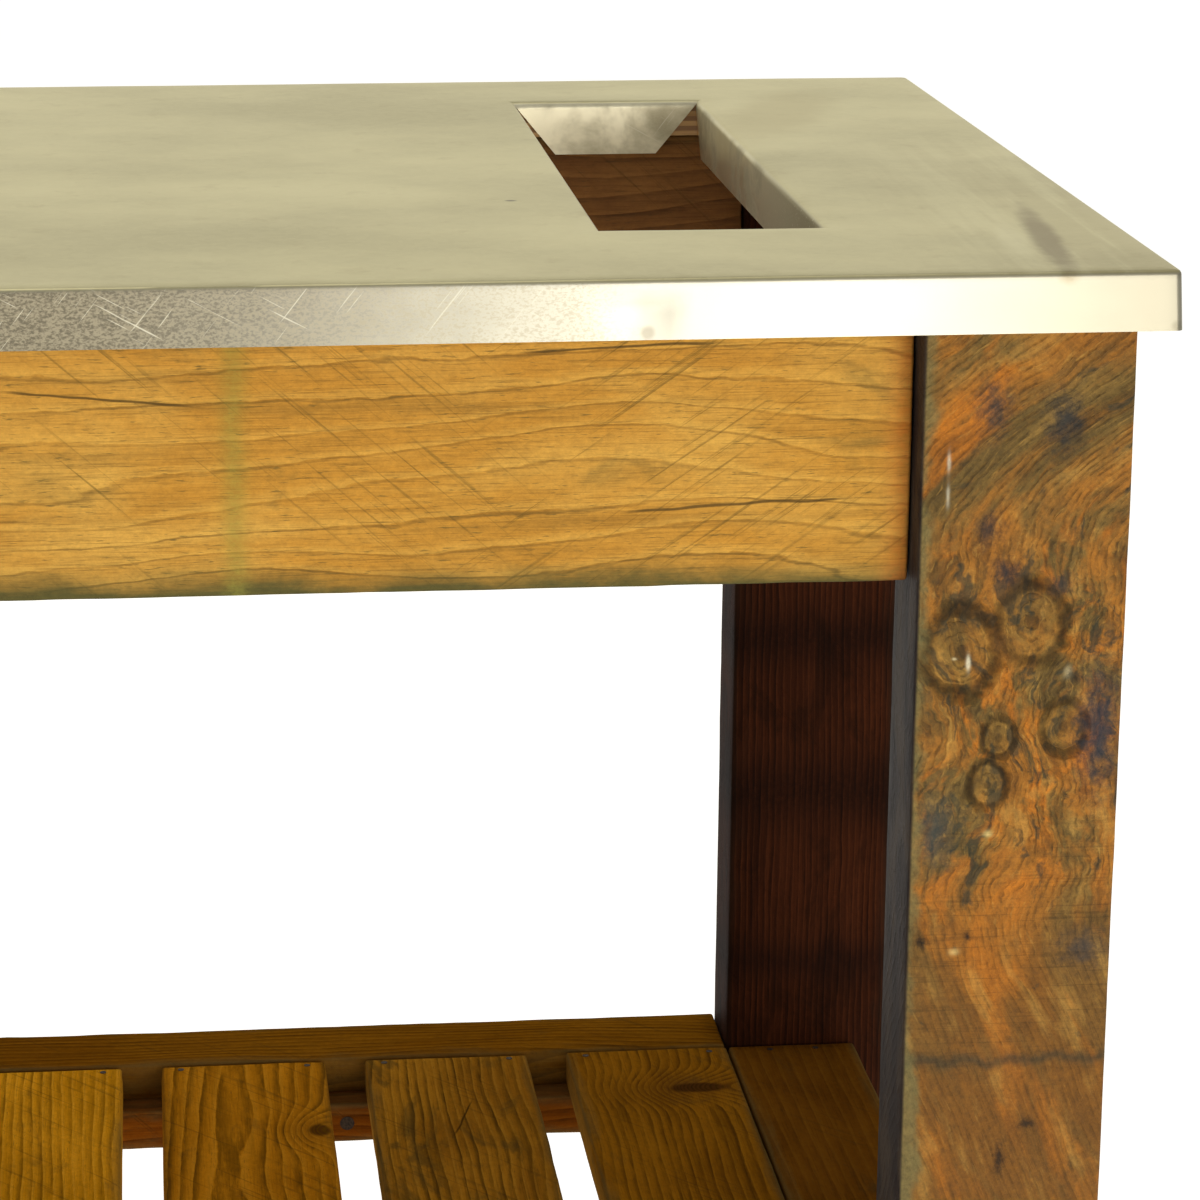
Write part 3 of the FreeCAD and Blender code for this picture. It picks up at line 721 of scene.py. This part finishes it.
# A mark is its place, half length, half width, turn, tone and strength; a dent is its place on the front
# lip, how far it reaches and how deep it goes
topLook = {
    "lipSteps": 5, "bendSteps": 5, "roundSteps": 4, "nearly": 0.00001,
    "gauge": 1.0, "lip": 25.0, "flare": 1.2, "foldRadius": 2.4, "cornerRadius": 3.0, "cell": 10.0,
    "slotX": (375.5, 470.5), "slotY": (-169.0, 199.0), "slotBend": 4.0, "tabDepth": 28.0,
    "tabTaper": 25.0, "swell": (5.0, 6.0, 4.2), "crumple": (22.0, 22.0, 9.1), "hollow": 0.35,
    "crease": 0.1, "lipHollow": 0.08, "topSkin": 0.5, "lipSkin": 3.0,
    # painted reflection: the first three marks, a dark band with a light strip beside it at the front right
    # and a darker patch at the right back, are reflections painted onto the top
    "marks": [(560.0, -205.0, 880.0, 95.0, 8.0, 0.1, "#6e5a30", 0.7),
              (546.0, -205.0, 880.0, 45.0, 8.0, 0.1, "#ddd7b4", 0.35),
              (505.0, 150.0, 880.0, 110.0, 30.0, 0.35, "#a39460", 0.4),
              (344.0, -95.0, 880.0, 2.5, 3.5, 0.0, "#4a4430", 0.8),
              (381.0, -280.0, 858.0, 4.0, 3.5, 0.0, "#6c5e46", 0.35),
              (597.0, -279.0, 857.0, 4.0, 3.0, 0.0, "#57503c", 0.3)],
    "dents": [(377.0, 866.0, 7.0, 2.2), (383.0, 859.5, 5.0, 1.6), (-140.0, 860.0, 10.0, 0.5),
              (-420.0, 862.0, 12.0, 0.7)],
    # where each patch of wear, painted shade or painted reflection starts and ends, in millimetres along
    # the axis that it fades on
    "zones": {
        "lip": (879.4, 877.6), "lipEnd": (430.0, 600.0), "dirty": (425.0, 165.0),
        "speckled": (405.0, 370.0), "slotFront": (-200.0, -180.0), "slotBack": (215.0, 205.0),
        "slotLeft": (300.0, 340.0), "slotRight": (540.0, 500.0), "slotFade": (60.0, -150.0),
        "rubbedRight": (470.0, 590.0), "rubbedFront": (160.0, -120.0)},
}


def galvanisedMetal():
    # Hot-dipped zinc, gone dull and yellowish: soft crystal flakes, fine scratches, a few stains, and
    # painted shade, highlight and reflection on the lip, the tabs and the top
    zone = topLook["zones"]
    material, shader = newMaterial("galvanisedZincDull")
    flat = placeInMillimetres()
    parts = addNode("SeparateXYZ", {}, {0: flat}).outputs
    flakeLinks = {"Vector": flat, "Scale": 0.28, "Randomness": 1.0}
    flakes = addNode("TexVoronoi", {"feature": "F1"}, flakeLinks)
    flakeTone = addNode("SeparateColor", {}, {0: flakes.outputs["Color"]}).outputs[0]
    clouds = grainNoise(flat, 0.6, 0.008, 4.0, 0.6)
    blotch = noise(flat, 0.05, 5.0, 0.65)
    grain = grainNoise(flat, 0.6, 1.0, 3.0, 0.7)
    # the front lip is dirty from its left end almost to the slot, with a speckled fringe,
    # and in the slot the tabs take duller blotches and a fade towards the front, as painted reflection
    onLip = band(parts[2], *zone["lip"])
    dirtyEnd = band(scaled(blotch, 60.0, parts[0]), *zone["dirty"])
    speckled = times(band(scaled(blotch, 40.0, parts[0]), *zone["speckled"]), onLip)
    speckled = times(speckled, band(grain, 0.45, 0.62))
    inSlot = 1.0
    for axis, edge in ((1, "slotFront"), (0, "slotRight"), (0, "slotLeft"), (1, "slotBack")):
        inSlot = times(inSlot, band(parts[axis], *zone[edge]))
    slotReflectionBlotches = times(inSlot, band(noise(flat, 0.035, 4.0, 0.55, 0.3), 0.4, 0.66, 0.0, 0.65))
    slotReflectionFade = times(inSlot, band(parts[1], *zone["slotFade"], 0.0, 0.9))
    slotReflectionBlotches = calc("MAXIMUM", slotReflectionBlotches, slotReflectionFade)
    patinaAndSlotReflection = times(onLip, calc("MAXIMUM", dirtyEnd, slotReflectionBlotches))
    colour = mixColour(band(clouds, 0.3, 0.7), "#c9c197", "#b4ac85")
    colour = tint(colour, "#d8d2ac", flakeTone, 0.15)
    colour = tint(colour, "#9a8a58", band(blotch, 0.55, 0.75, 0.0, 0.28))
    rubbed = noise(stretch(flat, 1.0, 0.06, 1.0), 0.05, 4.0, 0.65)
    rubMask = band(parts[0], *zone["rubbedRight"])
    rubMask = times(rubMask, band(parts[1], *zone["rubbedFront"]))
    rubTone = mixColour(band(rubbed, 0.4, 0.6), "#8f7c4c", "#e2dcb8")
    colour = mixColour(times(rubMask, 0.2), colour, rubTone)
    dull = mixColour(band(grain, 0.38, 0.6), "#665d4a", "#a19880")
    # the olive dull tone inside the slot is the colour of that painted reflection
    dull = mixColour(times(inSlot, 0.75), dull, "#6f6238")
    # painted shade: the lip and the tabs are painted greyer and darker than the top, to hold down the
    # stronger light they catch
    colour = tint(colour, "#b0aea3", onLip, 0.9)
    # painted highlight: the tabs in the slot are painted a light cream over that grey
    colour = tint(colour, "#e6dfc2", times(inSlot, onLip), 0.9)
    colour = tint(colour, "#857d66", speckled, 0.45)
    lipEnd = times(onLip, band(parts[0], *zone["lipEnd"]))
    colour = tint(colour, "#7f7a68", lipEnd, 0.75)
    for *spot, length, width, angle, tone, strength in topLook["marks"]:
        offset = vectorCalc("SUBTRACT", spun(flat, "Z", angle, spot), spot)
        reach = lengthOf(stretch(offset, 1 / width, 1 / length, 1 / width))
        reach = scaled(blotch, 0.8, minus(reach, 0.4))
        colour = tint(colour, tone, band(reach, 0.4, 1.1, strength, 0.0))
    colour = mixColour(times(patinaAndSlotReflection, 0.85), colour, dull)
    scratchOne = noise(stretch(spun(flat, "Y", 0.9), 0.02, 0.5, 1.0), 0.9, 2.0)
    scratchTwo = noise(stretch(spun(flat, "Y", -0.5), 0.025, 0.5, 1.0), 0.7, 2.0)
    scratch = calc("MAXIMUM", band(scratchOne, 0.68, 0.72), band(scratchTwo, 0.69, 0.73))
    scratch = times(scratch, patinaAndSlotReflection)
    colour = tint(colour, "#e4e0cc", scratch, 0.7)
    shader.inputs["Metallic"].default_value = 1.0
    rough = scaled(clouds, 0.1, 0.33)
    rough = scaled(patinaAndSlotReflection, 0.25, rough)
    relief = scaled(flakeTone, 0.2, times(grain, 0.3))
    dressShader(shader, colour, rough, relief, 0.12, 0.0004)
    return material


def foldTab(piece, side, look):
    # One side of the slot: the sheet is bent down in short steps, then runs straight,
    # and narrows as it goes
    bend, depth, steps = look["slotBend"] * mm, look["tabDepth"] * mm, look["bendSteps"]
    straight = depth - bend
    selectOnly(piece, "EDGE", side["test"])
    reach, drop, run, width = 0.0, 0.0, 0.0, side["length"]
    for step in range(1, steps + 2):
        angle = math.pi / 2 * min(step, steps) / steps
        nextReach = bend * math.sin(angle)
        nextDrop = depth if step > steps else bend * (1 - math.cos(angle))
        run += straight if step > steps else bend * math.pi / 2 / steps
        down = mathutils.Vector((0, 0, drop - nextDrop))
        move = mathutils.Vector(side["inward"]) * (nextReach - reach) + down
        bpy.ops.mesh.extrude_edges_move(TRANSFORM_OT_translate={"value": move})
        nextWidth = side["length"] - 2 * look["tabTaper"] * mm * run / (straight + bend * math.pi / 2)
        factors = [1.0, 1.0, 1.0]
        factors[side["alongAxis"]] = nextWidth / width
        bpy.ops.transform.resize(value=factors, center_override=side["centre"])
        reach, drop, width = nextReach, nextDrop, nextWidth


def metalTop():
    low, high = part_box("metal_top")
    look = topLook
    nearly = look["nearly"]
    size = [b - a for a, b in zip(low, high)]
    flare = look["flare"] * mm
    columns, rows = [int(span / (look["cell"] * mm)) for span in size[:2]]
    sheet = [span - 2 * flare for span in size[:2]]
    piece = flatGrid("foldedTop", columns, rows, sheet, high[2])
    # The grid's nearest lines move onto the edges of the slot, one bend's width outside it
    bend = look["slotBend"] * mm
    hole = [[look["slotX"][0] * mm - bend, look["slotX"][1] * mm + bend],
            [look["slotY"][0] * mm - bend, look["slotY"][1] * mm + bend]]
    for axis in (0, 1):
        for edge in hole[axis]:
            lines = {round(vertex.co[axis], 6) for vertex in piece.data.vertices}
            nearest = min(sorted(lines), key=lambda level: abs(level - edge))
            for vertex in piece.data.vertices:
                if abs(vertex.co[axis] - nearest) < nearly:
                    vertex.co[axis] = edge
    bpy.ops.object.mode_set(mode="EDIT")

    def inHole(face):
        spot = face.calc_center_median()
        return all(hole[axis][0] < spot[axis] < hole[axis][1] for axis in (0, 1))
    selectOnly(piece, "FACE", inHole)
    bpy.ops.mesh.delete(type="FACE")

    def onHoleEdge(axis, level):
        span = hole[1 - axis]

        def inSpan(spot):
            return span[0] - nearly < spot[1 - axis] < span[1] + nearly

        def test(edge):
            ends = [vertex.co for vertex in edge.verts]
            onLine = all(abs(end[axis] - level) < nearly and abs(end[2] - high[2]) < nearly for end in ends)
            return onLine and all(inSpan(end) for end in ends)
        return test
    middle = [sum(span) / 2 for span in hole]
    for axis in (0, 1):
        for end, direction in ((0, 1.0), (1, -1.0)):
            inward = [0.0, 0.0, 0.0]
            inward[axis] = direction
            side = {"test": onHoleEdge(axis, hole[axis][end]), "inward": inward, "alongAxis": 1 - axis,
                    "length": hole[1 - axis][1] - hole[1 - axis][0], "centre": (*middle, high[2])}
            foldTab(piece, side, look)

    # The rim is turned down into a lip that leans out a little
    halfX, halfY = size[0] / 2 - flare, size[1] / 2 - flare

    def onRim(edge):
        return edge.is_boundary and all(
            abs(abs(v.co.x) - halfX) < nearly or abs(abs(v.co.y) - halfY) < nearly for v in edge.verts)
    selectOnly(piece, "EDGE", onRim)
    lipSteps = look["lipSteps"]
    for step in range(lipSteps):
        down = (0, 0, -look["lip"] * mm / lipSteps)
        bpy.ops.mesh.extrude_edges_move(TRANSFORM_OT_translate={"value": down})
        growth = [(half + flare * (step + 1) / lipSteps) / (half + flare * step / lipSteps)
                  for half in (halfX, halfY)]
        bpy.ops.transform.resize(value=(*growth, 1), center_override=(0, 0, 0))

    def atCorner(spot):
        # the lip leans out as far along X as along Y, so its corners keep this difference
        offCorner = abs(abs(spot.x) - abs(spot.y) - (halfX - halfY))
        return offCorner < nearly * 10 and abs(spot.x) > halfX - nearly * 10

    def isUpright(edge):
        a, b = edge.verts[0].co, edge.verts[1].co
        return atCorner(a) and atCorner(b) and abs(a.z - b.z) > mm
    selectOnly(piece, "EDGE", isUpright)
    bpy.ops.mesh.bevel(offset=look["cornerRadius"] * mm, segments=look["roundSteps"], affect="EDGES")

    def isFold(edge):
        # one of its two faces is level and the other stands up
        atTop = all(abs(vertex.co.z - high[2]) <= nearly for vertex in edge.verts)
        if len(edge.link_faces) != 2 or not atTop:
            return False
        slopes = [abs(face.normal.z) for face in edge.link_faces]
        return min(slopes) < 0.3 and max(slopes) > 0.9
    selectOnly(piece, "EDGE", isFold)
    bpy.ops.mesh.bevel(offset=look["foldRadius"] * mm, segments=look["roundSteps"], affect="EDGES")
    faceOutwards()
    bpy.ops.object.mode_set(mode="OBJECT")
    if max(piece.data.polygons, key=lambda face: face.area).normal.z < 0:
        piece.data.flip_normals()
    # Hand-made sheet is never quite flat: slow hollows in the top, and knocks along the front lip
    for vertex in piece.data.vertices:
        spot = vertex.co
        swell, crumple = [
            mathutils.noise.noise(mathutils.Vector((spot.x * perX, spot.y * perY, layer)))
            for perX, perY, layer in (look["swell"], look["crumple"])]
        belowTop = high[2] - look["topSkin"] * mm
        if spot.z > belowTop:
            spot.z -= (look["hollow"] * (1 + swell) + look["crease"] * crumple) * mm
        if spot.y < low[1] + look["lipSkin"] * mm and spot.z < belowTop:
            spot.y += look["lipHollow"] * (1 + crumple) * mm
            for x, z, reach, deep in look["dents"]:
                gap = math.hypot((spot.x / mm - x) / reach, (spot.z / mm - z) / reach)
                spot.y += deep * mm * math.exp(-gap * gap * 2)
    shell = piece.modifiers.new("gauge", "SOLIDIFY")
    shell.thickness = look["gauge"] * mm
    shell.offset = -1
    shell.use_even_offset = True
    applyAll(piece)
    finishPiece(piece, "metal_top", galvanisedMetal(), 50)


metalTop()

print("stage: deck and fasteners")

deckLook = {"edgeRoom": 2.0, "topRoom": 0.9, "slotRoom": 0.5, "easing": 0.6, "plies": 7}


def dressNode(node, material):
    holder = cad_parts[node]
    holder.data.materials.clear()
    holder.data.materials.append(material)


def plywoodMaterial():
    # Birch-faced sheet: pale faces, and thin plies that alternate light and dark on every cut edge
    material, shader = newMaterial("plywoodBirch")
    flat = placeInMillimetres()
    height = addNode("SeparateXYZ", {}, {0: flat}).outputs[2]
    low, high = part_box("plywood_deck")
    plyPair = (high[2] - low[2]) / mm / deckLook["plies"] * 2
    ply = calc("FRACT", calc("DIVIDE", minus(height, low[2] / mm), plyPair))
    grain = grainNoise(flat, 0.03, 0.3, 4.0, 0.6, 0.4)
    colour = mixColour(band(grain, 0.35, 0.65), "#b08a55", "#96713f")
    colour = tint(colour, "#7a5630", band(ply, 0.48, 0.54))
    dressShader(shader, colour, 0.65)
    return material


def plainMetal(name, paint, dark, metallic, roughness, scale):
    # paint is the clean colour and dark the rust or dirt that breaks through it in spots
    material, shader = newMaterial(name)
    place = addNode("TexCoord").outputs["Object"]
    spots = noise(place, scale, 4.0, 0.65)
    colour = mixColour(band(spots, 0.42, 0.62), paint, dark)
    shader.inputs["Metallic"].default_value = metallic
    dressShader(shader, colour, scaled(spots, 0.3, roughness))
    return material


def dowelMaterial():
    # Beech: small darker flecks all over pale wood
    material, shader = newMaterial("dowelBeech")
    place = addNode("TexCoord").outputs["Object"]
    flecks = noise(stretch(place, 300.0, 300.0, 300.0), 1.0, 3.0, 0.6)
    colour = mixColour(band(flecks, 0.45, 0.65), "#c9a36b", "#9d7240")
    dressShader(shader, colour, 0.6)
    return material


def plywoodDeck():
    # Kept a little inside the folded lip, with the slot cut through it
    low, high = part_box("plywood_deck")
    edgeRoom, topRoom = deckLook["edgeRoom"] * mm, deckLook["topRoom"] * mm
    size = [b - a - 2 * edgeRoom for a, b in zip(low[:2], high[:2])]
    piece = flatGrid("plywoodDeck", 3, 3, size, low[2])
    slotRoom = (topLook["gauge"] + deckLook["slotRoom"]) * mm
    slot = [[level * mm for level in topLook[name]] for name in ("slotX", "slotY")]
    for axis, span in enumerate(slot):
        inner = [span[0] - slotRoom, span[1] + slotRoom]
        for vertex in piece.data.vertices:
            if abs(vertex.co[axis]) < size[axis] * 0.4:
                vertex.co[axis] = inner[0] if vertex.co[axis] < 0 else inner[1]
    bpy.ops.object.mode_set(mode="EDIT")

    def isMiddle(face):
        spot = face.calc_center_median()
        return all(span[0] < spot[axis] < span[1] for axis, span in enumerate(slot))
    selectOnly(piece, "FACE", isMiddle)
    bpy.ops.mesh.delete(type="FACE")
    bpy.ops.mesh.select_all(action="SELECT")
    up = (0, 0, high[2] - low[2] - topRoom)
    bpy.ops.mesh.extrude_region_move(TRANSFORM_OT_translate={"value": up})
    faceOutwards()

    def isSharp(edge):
        return len(edge.link_faces) == 2 and edge.calc_face_angle(0) > 1.0
    selectOnly(piece, "EDGE", isSharp)
    bpy.ops.mesh.bevel(offset=deckLook["easing"] * mm, segments=2, affect="EDGES")
    bpy.ops.object.mode_set(mode="OBJECT")
    finishPiece(piece, "plywood_deck", plywoodMaterial())


plywoodDeck()
dressNode("shelf_nails", plainMetal("nailSteelRusting", "#4a4038", "#2a1a10", 0.7, 0.5, 900.0))
brightZinc = plainMetal("screwZincPlate", "#b9b7ac", "#8f8b7c", 1.0, 0.25, 700.0)
dressNode("cleat_screws", plainMetal("screwSteelDirty", "#3a2a18", "#1e140a", 0.4, 0.65, 700.0))
dressNode("deck_screws", brightZinc)
beech = dowelMaterial()
dressNode("apron_dowels", beech)
dressNode("rail_dowels", beech)
